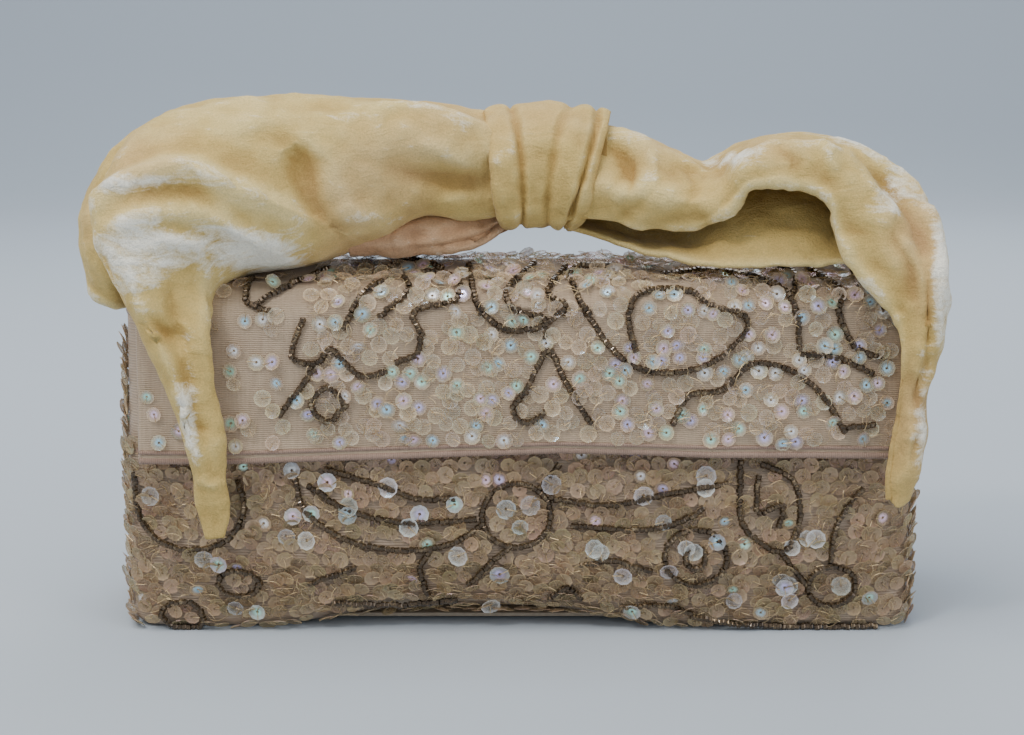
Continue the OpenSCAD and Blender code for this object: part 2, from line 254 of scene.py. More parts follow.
class Finish:
    """A material whose nodes are made by one method."""

    def __init__(self, name, **constants):
        self.material = bpy.data.materials.new(name)
        self.material.use_nodes = True
        self.tree = self.material.node_tree
        self.shader = self.tree.nodes["Principled BSDF"]
        for socket, value in constants.items():
            self.shader.inputs[socket.replace("_", " ")].default_value = value

    def node(self, kind, settings, inputs, output=0):
        """One node: its type, its settings, its sockets' values or links, and the output wanted."""
        made = self.tree.nodes.new(kind)
        for name, value in settings.items():
            if name == "stops":
                ramp = made.color_ramp
                while len(ramp.elements) < len(value):
                    ramp.elements.new(0.5)
                for element, (place, colour) in zip(ramp.elements, value):
                    element.position = place
                    element.color = (*colour, 1)
            else:
                setattr(made, name, value)
        for socket, value in inputs.items():
            self.feed(made.inputs[socket], value)
        return Value(self, made.outputs[output])

    def feed(self, socket, value):
        if isinstance(value, Value):
            self.tree.links.new(value.socket, socket)
        elif isinstance(value, tuple) and len(value) == 3 and socket.type == "RGBA":
            socket.default_value = (*value, 1)
        else:
            socket.default_value = value

    def place(self):
        return self.node("ShaderNodeTexCoord", {}, {}, "Object")

    def cloth(self):
        return self.node("ShaderNodeUVMap", {"uv_map": "cloth"}, {})

    def given(self, label, output="Fac"):
        return self.node("ShaderNodeAttribute", {"attribute_name": label}, {}, output)

    def streaks(self, where, stretch, detail, roughness, distortion=0.0, turned=(0, 0, 0)):
        """Noise drawn out by its own scale along each axis."""
        drawn = self.node("ShaderNodeMapping", {}, {0: where, 2: turned, 3: stretch})
        return self.noise(drawn, 1.0, detail, roughness, distortion)

    def noise(self, where, scale, detail=3.0, roughness=0.5, distortion=0.0):
        sockets = {"Vector": where, "Scale": scale, "Detail": detail, "Roughness": roughness}
        return self.node("ShaderNodeTexNoise", {}, {**sockets, "Distortion": distortion})

    def ramp(self, value, stops):
        return self.node("ShaderNodeValToRGB", {"stops": stops}, {0: value})

    def range(self, value, low, high, to_low=0.0, to_high=1.0):
        return self.node("ShaderNodeMapRange", {}, {0: value, 1: low, 2: high, 3: to_low, 4: to_high})

    def mix(self, first, second, share, blend="MIX"):
        settings = {"data_type": "RGBA", "blend_type": blend}
        return self.node("ShaderNodeMix", settings, {0: share, 6: first, 7: second}, 2)

    def set(self, socket, value):
        self.feed(self.shader.inputs[socket], value)

    def bump(self, height, strength, distance):
        return self.set("Normal", self.node(
            "ShaderNodeBump", {}, {"Height": height, "Strength": strength, "Distance": distance}, "Normal"
        ))


def velvet(name="velvet", base=(0.66, 0.47, 0.16), light=(0.82, 0.64, 0.28), deep=(0.42, 0.26, 0.075)):
    """Crushed silk velvet: a soft golden pile with a painted white sheen where the pile lies flat; its ridges get
    painted highlight and its creases painted shade.
    """
    finish = Finish(name, Roughness=0.7, Sheen_Weight=0.34, Sheen_Roughness=0.32, Specular_IOR_Level=0.16)
    finish.set("Sheen Tint", (1.0, 0.9, 0.64, 1))
    where = finish.place()
    broad = finish.noise(where, 22, 3, 0.5, 0.6)
    pile = finish.noise(where, 240, 5, 0.72, 0.8)
    hairs = finish.noise(where, 2100, 2, 0.6)
    strokes = finish.streaks(where, (70, 260, 260), 5, 0.7, 0.9, (0.5, 0.0, 0.5))
    # Two attributes from the geometry: where the painted white sheen goes, and how far the cloth stands out, for
    # painted ridge shading.
    pressed, relief = finish.given("pressed"), finish.given("relief")
    # The tone mixes random patches with painted shade: ridges are painted towards light and creases towards deep.
    tone = finish.ramp(broad * 0.3 + strokes * 0.2 + pile * 0.1 + relief * 0.4,
        [(0.3, deep), (0.5, base), (0.7, light)])
    blush = finish.mix(tone, (0.68, 0.4, 0.24),
        finish.range(finish.noise(where, 15, 2, 0.5), 0.52, 0.72, 0.0, 0.45))
    # Painted white sheen: the near-white colour below is laid where the pile lies flat, on ridges, in patches and
    # along strokes.
    sheen_amount = finish.range(pressed + strokes * 2.4 + pile * 0.9 + hairs * 0.3, 2.25, 2.95, 0.0, 0.97)
    colour = finish.mix(blush, (0.97, 0.93, 0.8), sheen_amount)
    specks = finish.range(hairs, 0.3, 0.7, 0.84, 1.1)
    grain = finish.node("ShaderNodeCombineColor", {}, {0: specks, 1: specks, 2: specks})
    finish.set("Base Color", finish.mix(colour, grain, 1.0, "MULTIPLY"))
    finish.set("Roughness", finish.range(sheen_amount, 0.0, 0.9, 0.78, 0.42))
    crush = finish.noise(where, 95, 4, 0.62, 1.4)
    finish.bump(strokes * 0.3 + pile * 0.25 + hairs * 0.1 + crush * pressed * 0.9, 0.7, 0.003)
    return finish.material


def ribbed_silk(name, colour, shade, rib=0.00085, ribs_along="Y"):
    """Silk faille: fine ribs across the cloth, with slubs and a soft lustre."""
    finish = Finish(name, Roughness=0.46, Sheen_Weight=0.12, Specular_IOR_Level=0.4)
    weave = finish.cloth()
    wobble = finish.noise(weave, 90, 3, 0.5)
    bent = finish.node("ShaderNodeVectorMath", {"operation": "MULTIPLY_ADD"},
        {0: wobble, 1: (0.0012, 0.0012, 0.0), 2: weave})
    waves = {"wave_type": "BANDS", "bands_direction": ribs_along}
    ribs = finish.node("ShaderNodeTexWave", waves,
        {"Vector": bent, "Scale": 0.314 / rib, "Distortion": 0.6, "Detail": 1.0})
    slubs = finish.streaks(weave, (120, 1500, 1), 2, 0.5)
    mottle = finish.noise(weave, 45, 4, 0.6)
    tone = finish.range(ribs * 0.22 + slubs * 0.36 + mottle * 0.42, 0.25, 0.75)
    finish.set("Base Color", finish.mix(shade, colour, tone))
    finish.set("Roughness", finish.range(mottle, 0.3, 0.7, 0.36, 0.56))
    finish.bump(ribs * 0.8 + slubs * 0.4, 0.5, 0.0003)
    return finish.material


def satin(name, colour, shade):
    """Smooth lining satin with faint pulls."""
    finish = Finish(name, Roughness=0.34, Sheen_Weight=0.2)
    where = finish.place()
    pulls = finish.streaks(where, (40, 300, 300), 3, 0.6)
    broad = finish.noise(where, 30, 3, 0.5)
    threads = finish.streaks(where, (600, 4000, 4000), 1, 0.5)
    finish.set("Base Color", finish.mix(shade, colour, finish.range(pulls * 0.5 + broad * 0.5, 0.3, 0.7)))
    finish.set("Roughness", finish.range(broad, 0.3, 0.7, 0.26, 0.42))
    finish.bump(pulls + threads * 0.4, 0.3, 0.0004)
    return finish.material


def sequin_film(name, clear, gloss, film):
    """Clear cup sequins: thin tinted film, denser at the rim, with a painted glint of bright pastel or white
    colour on the middle of some.
    """
    finish = Finish(name, Roughness=gloss, Coat_Weight=0.3, Coat_Roughness=0.1, IOR=1.45)
    finish.set("Thin Film Thickness", film)
    finish.set("Thin Film IOR", 1.6)
    tint, mirror, rim = finish.given("tint", "Color"), finish.given("mirror"), finish.given("rim")
    haze = finish.noise(finish.place(), 420, 2, 0.5)
    finish.set("Base Color", finish.mix(tint, (0.36, 0.25, 0.15), finish.range(haze, 0.45, 0.8, 0.0, 0.4)))
    finish.set("Roughness", finish.range(haze, 0.3, 0.7, gloss * 0.7, gloss * 1.5))
    finish.set("Metallic", mirror)
    finish.set("Alpha", finish.range(rim, 0.45, 0.95, clear, clear + 0.3) + mirror * 2.5)
    return finish.material


def bronze_bead():
    """Cut seed beads of dark bronze glass with a metallic lustre, some painted bright golden as a glint."""
    finish = Finish("bronze_bead", Roughness=0.24, Metallic=0.75, Coat_Weight=0.5, Coat_Roughness=0.1)
    where = finish.place()
    patina_and_glint = finish.noise(where, 260, 3, 0.6)
    fine = finish.noise(where, 1500, 2, 0.5)
    # Dark to bright by random patches: the darker tones are the glass's own, and the brightest stop is a painted
    # glint.
    stops = [(0.34, (0.036, 0.023, 0.014)), (0.55, (0.12, 0.08, 0.044)), (0.72, (0.48, 0.36, 0.21))]
    finish.set("Base Color", finish.ramp(patina_and_glint * 0.6 + fine * 0.4, stops))
    finish.set("Roughness", finish.range(fine, 0.3, 0.7, 0.16, 0.4))
    return finish.material


def nickel():
    """Polished nickel with fine turning marks."""
    finish = Finish("nickel", Metallic=1.0, Roughness=0.22)
    where = finish.place()
    marks = finish.streaks(where, (300, 300, 6000), 2, 0.5)
    smears = finish.noise(where, 150, 3, 0.6)
    finish.set("Base Color", finish.mix((0.52, 0.49, 0.44), (0.78, 0.76, 0.72), smears))
    finish.set("Roughness", finish.range(smears * 0.6 + marks * 0.4, 0.3, 0.7, 0.14, 0.34))
    finish.bump(marks, 0.15, 0.0001)
    return finish.material


def paper_board():
    """Pressed paper board with fibres."""
    finish = Finish("paper_board", Roughness=0.9)
    fibres = finish.noise(finish.place(), 900, 4, 0.7)
    finish.set("Base Color", finish.mix((0.34, 0.27, 0.2), (0.56, 0.47, 0.36), fibres))
    finish.bump(fibres, 0.4, 0.0003)
    return finish.material


def thread_finish():
    """Gold sewing thread."""
    finish = Finish("gold_thread", Roughness=0.4, Metallic=0.3, Sheen_Weight=0.3)
    strands = finish.noise(finish.place(), 2500, 2, 0.6)
    finish.set("Base Color", finish.mix((0.4, 0.27, 0.12), (0.78, 0.6, 0.34), strands))
    return finish.material


def finish_of(piece, material, slot, body, *stands_for):
    """Paints a piece, makes it ride on a body, and hides the nodes it stands for; the slot is not used."""
    piece.data.materials.clear()
    piece.data.materials.append(material)
    if body:
        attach(piece, body)
    if stands_for:
        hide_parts(*stands_for)


# ---------------------------------------------------------------- the body's shape

corner_r = 7.0
straight_x = half_w - corner_r
straight_y = half_d - corner_r
arc = corner_r * math.pi / 2
round_base = 5.0


def turn(g):
    """Where a distance round the body lies: shares of the straight sides, and the side's normal."""
    lengths = [straight_x, arc, 2 * straight_y, arc, 2 * straight_x, arc, 2 * straight_y, arc, straight_x]
    ends = np.cumsum(lengths)
    g = np.mod(g, ends[-1])
    stretch = np.searchsorted(ends, g, side="right").clip(0, 8)
    t = (g - np.concatenate([[0], ends])[stretch]) / np.array(lengths)[stretch]
    quarter = t * math.pi / 2
    none, one = 0 * t, 1 + 0 * t
    sin, cos = np.sin(quarter), np.cos(quarter)
    table_x = [t, one, one, one, 1 - 2 * t, -one, -one, -one, t - 1]
    table_y = [-one, -one, 2 * t - 1, one, one, one, 1 - 2 * t, -one, -one]
    normal_x = [none, sin, one, cos, none, -sin, -one, -cos, none]
    normal_y = [-one, -cos, none, sin, one, cos, none, -sin, -one]
    return [np.choose(stretch, table) for table in (table_x, table_y, normal_x, normal_y)]


round_length = 4 * (straight_x + straight_y + arc)


def base_arch(middle_front, z):
    """How far the soft base is drawn up in the middle of the front."""
    return 4.0 * middle_front * np.clip(1 - z / 24, 0, 1) ** 1.5


def body_point(g, z, depth=0.0, swelling=True):
    """The body's surface at a distance g round it from the front's centre, and a height z: swelling
    on its outside, and flat at a depth inside it."""
    g, z = np.broadcast_arrays(np.asarray(g, float), np.asarray(z, float))
    share_x, share_y, normal_x, normal_y = turn(g)
    arch_x, arch_half, arch_round = -15, 46, 9
    middle_front = np.exp(-((share_x * straight_x - arch_x) / arch_half) ** 4) * (normal_y < -0.5)
    lower_r = round_base + arch_round * middle_front
    height = np.maximum(z - depth, 0)
    inset = lower_r - np.sqrt(np.maximum(lower_r**2 - np.maximum(lower_r - height, 0) ** 2, 0))
    out = -depth
    if swelling:
        swell = np.interp(z, [0, 8, 22, 40, 58, 80, 99], [0, 1.6, 4.6, 3.6, 1.0, 0.4, 0])
        flat_share = np.where(np.abs(normal_y) > 0.9, 1 - share_x**6, 0)
        bulge = 3.2 * np.sin(np.clip(z / front_top, 0, 1) * math.pi)
        out = swell * flat_share + bulge * (1 - share_y**2) * (np.abs(normal_x) > 0.9)
    half_y = half_d - slope * z - inset
    x = share_x * (half_w - inset - corner_r) + normal_x * (corner_r + out)
    y = share_y * (half_y - corner_r) + normal_y * (corner_r + out)
    return np.stack([x, y, z + base_arch(middle_front, z)], axis=-1)


def stand_on(here, beside, above, out):
    """Points a distance out from a surface, with its normals and upward tangents."""
    up = unit(above - here)
    normal = unit(np.cross(unit(beside - here), up))
    return here + normal * np.reshape(out, (-1, 1)), normal, up


def body_place(g, z, out):
    return stand_on(body_point(g, z), body_point(g + 0.5, z), body_point(g, z + 0.5), out)


# ---------------------------------------------------------------- the flap's shape

crown = 3.0
bend_z = hinge_z - bend_radius - wall / 2
bend_y = -half_d + slope * bend_z - flap_gap + bend_radius / math.cos(lean)
bend_from = math.radians(70)
lip_low = flap_low[2] - wall / 2


def flap_profile(out):
    """The flap's section as (y, z) points at a distance out from its lining's face."""
    bend = np.linspace(bend_from, math.pi - lean, 14)
    arc_points = np.stack([bend_y + (bend_radius + out) * np.cos(bend),
        bend_z + (bend_radius + out) * np.sin(bend)], 1)
    t = np.linspace(0, 1, 14, endpoint=False)[:, None]
    start = np.array([[hinge_y, hinge_z - wall / 2 + out]])
    top = start + t * (arc_points[:1] - start) + np.concatenate([0 * t, crown * 4 * t * (1 - t)], 1)
    low = np.array([[-half_d + slope * lip_low - flap_gap - out, lip_low]])
    return np.concatenate([top, arc_points, low])


flap_lines = {}


def flap_section(t, out):
    """The (y, z) on the flap at a share t from the hinge to the lower edge."""
    if out not in flap_lines:
        line = flap_profile(out)
        flap_lines[out] = (line, run_along(line))
    line, along = flap_lines[out]
    reach = t * along[-1]
    y = np.interp(reach, along, line[:, 0])
    z = np.interp(reach, along, line[:, 1])
    over = np.maximum(reach - along[-1], 0)
    return y - over * slope, z - over


flap_length = 100.0


def hem_wave(x):
    """How far the lower edge of the flap rises above its straight line."""
    return np.interp(x, [-110, -85, -35, 12, 35, 55, 110], [-1.6, -1.5, 0.0, 2.0, 1.4, 0.4, 0.2])


def flap_point(x, t, out=wall):
    """The flap's outer surface, softly uneven."""
    x, t = np.broadcast_arrays(np.asarray(x, float), np.asarray(t, float))
    drop = t - t**6 * hem_wave(x) / flap_length
    y, z = flap_section(drop, out)
    soft = 0.9 * np.sin(x / 23 + 1.1) * np.sin(t * 9 + x / 40) * np.clip(np.minimum(t, 1.02 - t) * 6, 0, 1)
    rise = soft + 0.8 * np.exp(-(((t - 0.97) / 0.03) ** 2)) * np.sin(x / 17)
    lift = np.where(t < 0.55, 0.0, 1.0)
    return np.stack([x, y - rise * lift, z + rise * (1 - lift) * 0.6], axis=-1)


def flap_place(x, t, out):
    here = flap_point(x, t)
    return stand_on(here, flap_point(x + 0.5, t), 2 * here - flap_point(x, t + 0.005), out)


# ---------------------------------------------------------------- camera, floor and light

def picture():
    """The camera, floor and lights."""
    aim = Vector((-2.3, -half_d, 78.6)) * MM
    distance = 0.5
    camera_data = bpy.data.cameras.new("camera")
    camera_data.lens = 61.4
    camera_data.clip_start = 0.01
    camera = in_scene("camera", camera_data)
    camera.location = aim + Vector((0, -math.cos(view_rise), math.sin(view_rise))) * distance
    camera.rotation_euler = (math.pi / 2 - view_rise, 0, 0)
    bpy.context.scene.camera = camera

    curve_start, curve_r = 1.2, 1.4
    rise = np.linspace(0, math.pi / 2, 16)
    curve = [(curve_start + curve_r * math.sin(a), curve_r - curve_r * math.cos(a)) for a in rise]
    line = [(-3, 0)] + curve + [(2.6, 4)]
    grid = np.array([[(x, y, z) for x in (-5, 5)] for y, z in line]) / MM
    floor = grid_piece("floor", grid)
    cloth = Finish("floor_paint", Roughness=0.9, Specular_IOR_Level=0.2)
    cloth.shader.inputs["Base Color"].default_value = (0.49, 0.545, 0.605, 1)
    floor.data.materials.append(cloth.material)

    world = bpy.data.worlds.new("studio")
    world.use_nodes = True
    background = world.node_tree.nodes["Background"]
    background.inputs["Color"].default_value = (0.86, 0.92, 1.0, 1)
    background.inputs["Strength"].default_value = 0.62
    bpy.context.scene.world = world
    lamps = [
        ("key", (-0.35, -0.3, 1.1), 1.0, 9.6, (1.0, 0.97, 0.92), (0, 0, 0.07)),
        ("sparkle", (-0.45, -0.55, 0.8), 0.14, 2.4, (1.0, 0.98, 0.95), (0, 0, 0.07)),
        ("fill", (0.9, -0.6, 0.6), 0.6, 3.0, (0.96, 0.98, 1.0), (0, 0, 0.07)),
        ("rim", (0.25, 0.9, 0.9), 0.7, 4.0, (1.0, 1.0, 1.0), (0, 0, 0.07)),
        ("wall", (0.0, 0.5, 1.5), 1.4, 13.0, (0.95, 0.98, 1.0), (0, 2.3, 0.6)),
    ]
    for name, place, size, power, colour, aim in lamps:
        lamp_data = bpy.data.lights.new(name, "AREA")
        lamp_data.size = size
        lamp_data.energy = power
        lamp_data.color = colour
        lamp = in_scene(name, lamp_data)
        lamp.location = place
        lamp.rotation_euler = (Vector(aim) - Vector(place)).to_track_quat("-Z", "Y").to_euler()


# ---------------------------------------------------------------- body and flap

def top_of(g):
    """Height of the body's top edge round it: the back stands above the front and sides."""
    return np.where(turn(g)[3] > 0.5, back_top, front_top)


def body_wall(name, rows, depth, swelling):
    """The body's wall, closed by its base, at a depth inside the outer surface."""
    g = np.linspace(0, round_length, 240, endpoint=False) + round_length / 2
    low = rows[0]
    reach = (top_of(g) - low) / (front_top - low)
    grid = [body_point(g, low + (row - low) * reach, depth, swelling) for row in rows]
    base = []
    for share in (0.0, 0.3, 0.6, 0.85, 0.96):
        ring = grid[0] * [1 - (1 - share) * half_d / half_w, share, 1]
        ring[:, 2] = low + (ring[:, 2] - low) * share**2
        base.append(ring)
    return outward(grid_piece(name, np.array(base + grid), around=True))


def tube(name, path, radius, sides=8, flat=1.0):
    """A round strip along a path, with its ends closed."""
    path = np.asarray(path, float)
    tangent = unit(np.gradient(path, axis=0))
    side = unit(np.cross(tangent, [0, 0, 1.0]))
    over = np.cross(side, tangent)
    angles = circle(sides)
    grid = path[:, None] + radius * (
        np.cos(angles)[None, :, None] * side[:, None] * flat + np.sin(angles)[None, :, None] * over[:, None]
    )
    return outward(grid_piece(name, grid, around=True, ends=True))


def make_body(silk, lining, binding):
    rows = [0, 0.5, 1.2, 2.2, 3.5, 5, 7, 9, 12, 15, 19, 23, 28, 33, 38, 44, 50, 56, 62, 68, 74, 80, 86, 90,
        front_top]
    cover = body_wall("bag_cover", rows, 0.0, True)
    thicken(cover, silk_t)
    finish_of(cover, silk, "silk", "bag", "front_panel", "back_panel", "base_panel", "left_gusset",
        "right_gusset")

    rows = [3.2, 3.8, 5, 7, 10, 15, 22, 32, 44, 56, 68, 80, 88, front_top]
    inner = body_wall("bag_lining", rows, wall, False)
    thicken(inner, 0.5, 1)
    finish_of(inner, lining, "satin", "bag", "front_lining", "back_lining", "base_lining", "left_lining",
        "right_lining")

    reach = straight_x + arc + 2 * straight_y + arc * 0.4
    g = np.linspace(-reach, reach, 260)
    edge = body_point(g, front_top + 0.2, 1.3, False)
    rim = tube("mouth_edge", edge, 1.75, 10)
    finish_of(rim, binding, "binding", "bag", "mouth_binding")


def make_flap(silk, binding):
    xs = np.concatenate([[-flap_half, -flap_half + 0.5, -flap_half + 1.4], np.linspace(-107, 107, 130),
        [flap_half - 1.4, flap_half - 0.5, flap_half]])
    pinch = np.interp(np.abs(xs), [flap_half - 1.4, flap_half - 0.5, flap_half], [0, 0.35, 0.85])
    t = np.linspace(0, 1, 90)
    rings = []
    for x, p in zip(xs, pinch):
        outer = flap_point(x, t, wall - 1.2 * p)
        inner = flap_point(x, t[::-1], 0.62 + 0.9 * p)
        inner[:, 1:] = np.stack(flap_section((t - t**6 * hem_wave(x) / flap_length)[::-1], 0.62 + 0.9 * p), 1)
        rings.append(np.concatenate([outer, inner]))
    cover = outward(grid_piece("flap_cover", np.array(rings), around=True, ends=True))
    finish_of(cover, silk, "silk", "flap", "flap_shell", "flap_board")

    x = np.linspace(-flap_half + 0.4, flap_half - 0.4, 220)
    low = flap_point(x, 0.994)
    low[:, 1] += 0.5
    hem = tube("flap_hem", low, 1.0, 10)
    upper = tube("flap_hem_fold", flap_point(x, 0.97) + [0, -0.1, 0], 0.55, 8)
    line = np.stack([x, 0 * x + hinge_y, 0 * x + hinge_z], axis=1)
    finish_of(tube("flap_back_fold", line, 1.5, 16), silk, "silk", "flap")
    for binding_strip in (hem, upper):
        finish_of(binding_strip, binding, "binding", "flap", "flap_piping")


# ---------------------------------------------------------------- the velvet sash

def crumpled(grid, around, seed, broad=1.0, fine=0.45):
    """Presses soft dents and creases into a cloth surface."""
    normals = surface_normals(grid, around)
    dents = uneven(grid, 19, seed) * broad + uneven(grid, 8, seed + 1) * fine
    creases = -np.abs(uneven(grid, 13, seed + 2)) * fine * 1.6
    creases -= np.abs(uneven(grid, 6, seed + 3)) * fine * 0.7
    return grid + normals * (dents + creases + uneven(grid, 4, seed + 4) * 0.3)[..., None]


def seen_height(points):
    """Height as seen from the front, a little above level."""
    level, seen_there = 65, 63
    up, back = points[..., 2] - level, points[..., 1] + half_d
    return up * math.cos(view_rise) + back * math.sin(view_rise) + seen_there


def outward_normals(grid, around=True):
    """Normals that point away from the middle line."""
    normals = surface_normals(grid, around)
    away = grid - grid.mean(axis=1, keepdims=True)
    return normals * np.sign((normals * away).sum())


def calm_end(smooth, worked):
    """Leaves the end inside the knot smooth, so that the wrap closes over it."""
    share = np.clip((np.linspace(0, 1, len(smooth)) - 0.05) / 0.06, 0, 1)[:, None, None]
    return smooth + (worked - smooth) * share


def fold(grid, path, height, above, below, around=True):
    """A fold along a line of (across, height seen) on a sleeve's front, with its own reach on each side."""
    line = spaced(path, 1.0)
    points = np.stack([grid[..., 0], seen_height(grid)], axis=-1).reshape(-1, 2)
    gaps = points[:, None] - line[None]
    nearest = np.linalg.norm(gaps, axis=2).argmin(axis=1)
    gap = gaps[np.arange(len(points)), nearest]
    ahead = np.gradient(line, axis=0)[nearest]
    over = ahead[:, 0] * gap[:, 1] - ahead[:, 1] * gap[:, 0] > 0
    reach = np.where(over, above, below)
    share = nearest / (len(line) - 1)
    fade = np.sin(math.pi * share.clip(0.03, 0.97)) ** 0.7
    lift = height * fade * np.exp(-(np.linalg.norm(gap, axis=1) / reach) ** 1.3)
    normals = outward_normals(grid, around)
    front = np.clip(-2.5 * normals[..., 1:2], 0, 1)
    return grid + normals * front * lift.reshape(grid.shape[:2] + (1,))


def pile_sheen_and_shading(grid, patches, seed):
    """How much painted white sheen each point gets where the pile lies flat: on ridges, at random and in the given
    patches of (across, height seen, half width, half height); and how far each point stands out, from 0 to 1,
    which paints ridges lighter and creases darker."""
    broad = grid
    for axis in (0, 1):
        rows = np.arange(grid.shape[axis])
        steps = [np.take(broad, (rows + k).clip(0, rows[-1]), axis=axis) for k in range(-5, 6)]
        broad = np.mean(steps, axis=0)
    away = unit(grid - grid.mean(axis=1, keepdims=True))
    stands = ((grid - broad) * away).sum(-1)
    stands -= np.median(stands)
    # Painted sheen from ridges and random noise; the patches below add more painted sheen.
    sheen_share = 0.34 * np.clip(stands, -1, 1.2) + 0.26 * uneven(grid, 17, seed) + 0.2 * uneven(grid, 6, seed + 1)
    for x, seen, half_x, half_z in patches:
        far = ((grid[..., 0] - x) / half_x) ** 2 + ((seen_height(grid) - seen) / half_z) ** 2
        sheen_share = sheen_share + 1.0 * np.exp(-far)
    # The second value paints the velvet lighter on ridges and darker in creases, a painted shade.
    return sheen_share.clip(0, 1.2), (0.5 + 0.4 * stands).clip(0, 1)


def gather(grid, start, end, pleats, depth, seed, around=True):
    """Pleats that run along the cloth and are deepest at the start row, as where it is squeezed."""
    rows, columns = grid.shape[:2]
    u = np.linspace(0, 1, rows)[:, None]
    v = np.linspace(0, full_turn, columns, endpoint=not around)[None, :]
    fade = np.clip(1 - (u - start) / (end - start), 0, 1) ** 1.3
    wave = np.sin(pleats * v + seed + 1.5 * u) + 0.5 * np.sin((pleats * 2 - 1) * v + 2.1 * seed)
    normals = surface_normals(grid, around)
    return grid + normals * (depth * fade * wave)[..., None]


def sleeve(lower, upper, front, back, rows=150, columns=96, square=0.85):
    """A folded strip as a closed sleeve: for each station its lower and upper edges (x, z), and how
    far its front and back layers stand from the middle depth (y of the middle, front, back)."""
    lower, upper = np.array(lower, float), np.array(upper, float)
    angles = circle(columns)
    cos = np.sign(np.cos(angles)) * np.abs(np.cos(angles)) ** square
    sin = np.sign(np.sin(angles)) * np.abs(np.sin(angles)) ** square
    centre = (lower + upper) / 2
    half = (upper - lower) / 2
    middle = (np.array(front) + np.array(back)) / 2
    thick = (np.array(back) - np.array(front)) / 2
    stations = np.zeros((len(lower), columns, 3))
    stations[:, :, 0] = centre[:, 0:1] + half[:, 0:1] * cos
    stations[:, :, 2] = centre[:, 1:2] + half[:, 1:2] * cos
    stations[:, :, 1] = middle[:, None] + thick[:, None] * sin
    return smooth_through(stations, rows)


def cloth_piece(name, grid, around, thickness=1.4, patches=()):
    piece = grid_piece(name, grid, around=around)
    # The two point attributes carry the velvet's painted sheen and its painted ridge shading.
    for label, values in zip(("pressed", "relief"), pile_sheen_and_shading(grid, patches, len(name))):
        give(piece, label, "FLOAT", values)
    if faces_inwards(piece, grid):
        piece.data.flip_normals()
    return thicken(piece, thickness)


def faces_inwards(piece, grid):
    """Whether a sleeve's faces point at its middle line and need turning."""
    row_middles = grid.mean(axis=1) * MM
    score = 0.0
    for face in list(piece.data.polygons)[::97]:
        centre = Vector(row_middles[face.vertices[0] // grid.shape[1]])
        score += (face.center - centre).dot(face.normal)
    return score < 0


def make_left_sash(material):
    """From the knot to the left, over the bag's corner, and down as the left tail."""
    lower = [(4, 120.4), (-6, 119.5), (-16, 118), (-28, 120), (-42, 113), (-57, 107.5), (-74, 104),
             (-86, 100), (-88, 93), (-86, 82), (-84.5, 68), (-83, 52), (-82, 40), (-84, 31)]
    upper = [(4, 147.2), (-6, 148.5), (-16, 151), (-32, 153), (-50, 154.5), (-70, 155.5), (-93, 153),
             (-113, 142), (-119.5, 118), (-109, 96), (-100, 76), (-93.5, 55), (-92.5, 40), (-90.5, 30.5)]
    front = [-18.2, -18.6, -20.5, -24, -28, -32, -36.5, -40, -43, -43.5, -43, -42.5, -42, -41]
    back = [8.2, 8.6, 10, 12, 14, 15.5, 16, 9, -22, -35, -35.5, -36, -36.5, -38]
    smooth = grid = sleeve(lower, upper, front, back, rows=190)
    grid = gather(grid, 0.06, 0.3, 5, 1.3, 0.7)
    grid = gather(grid, 0.06, 0.9, 2, 1.2, 2.2)
    grid = crumpled(grid, True, 3, 1.1, 0.5)
    for path, height, above, below in (
        ([(-124, 118), (-115, 125), (-106, 129), (-92, 132), (-78, 127), (-65, 122), (-54, 117)], 6.5, 2.2,
         8),
        ([(-118, 113), (-104, 119), (-88, 120), (-76, 114), (-66, 108)], 4.5, 2.2, 5),
        ([(-104, 110), (-96, 112), (-86, 110)], 3.0, 1.8, 3.5),
        ([(-110, 122), (-98, 125), (-86, 124)], -2.6, 2.2, 2.2),
        ([(-64, 140), (-60, 132), (-57, 122), (-49, 112)], -5.0, 2.6, 6),
        ([(-78, 146), (-66, 138), (-56, 128)], -2.6, 12, 9),
        ([(-52, 124), (-44, 120), (-36, 122)], 2.6, 3.5, 5),
        ([(-46, 150), (-34, 151), (-22, 149), (-8, 144)], 3.0, 1.6, 6),
        ([(-30, 141), (-18, 136), (-8, 134)], 2.6, 3, 3),
        ([(-40, 134), (-28, 130), (-10, 127)], -2.4, 3.5, 3),
        ([(-110, 114), (-106, 96), (-98, 78), (-92, 58), (-89, 40)], 3.4, 4, 2.4),
        ([(-97, 106), (-95, 88), (-91, 70), (-87, 50)], -3.2, 2.6, 4),
        ([(-88, 108), (-90, 96), (-88, 78)], 2.6, 3, 2.4),
        ([(-104, 92), (-98, 86), (-92, 84)], -2.0, 1.6, 1.6),
        ([(-96, 66), (-91, 60), (-86, 58)], -1.6, 1.4, 1.4),
        ([(-92, 46), (-88, 43), (-84, 44)], 1.5, 1.5, 1.5),
        ([(-118, 110), (-116, 100), (-112, 92)], -2.4, 3, 2.4),
    ):
        grid = fold(grid, path, height, above, below)
    grid = calm_end(smooth, grid)
    # Patches of painted white sheen on the left sash, as (across, height seen, half width, half height).
    piece = cloth_piece("left_sash", grid, True, 1.4, [
        (-88, 110, 24, 6), (-107, 106, 10, 12), (-72, 107, 9, 5), (-93, 66, 3, 20), (-104, 127, 12, 1.6),
    ])
    finish_of(piece, material, "velvet", None, "left_wing", "left_tail")
    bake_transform(piece)


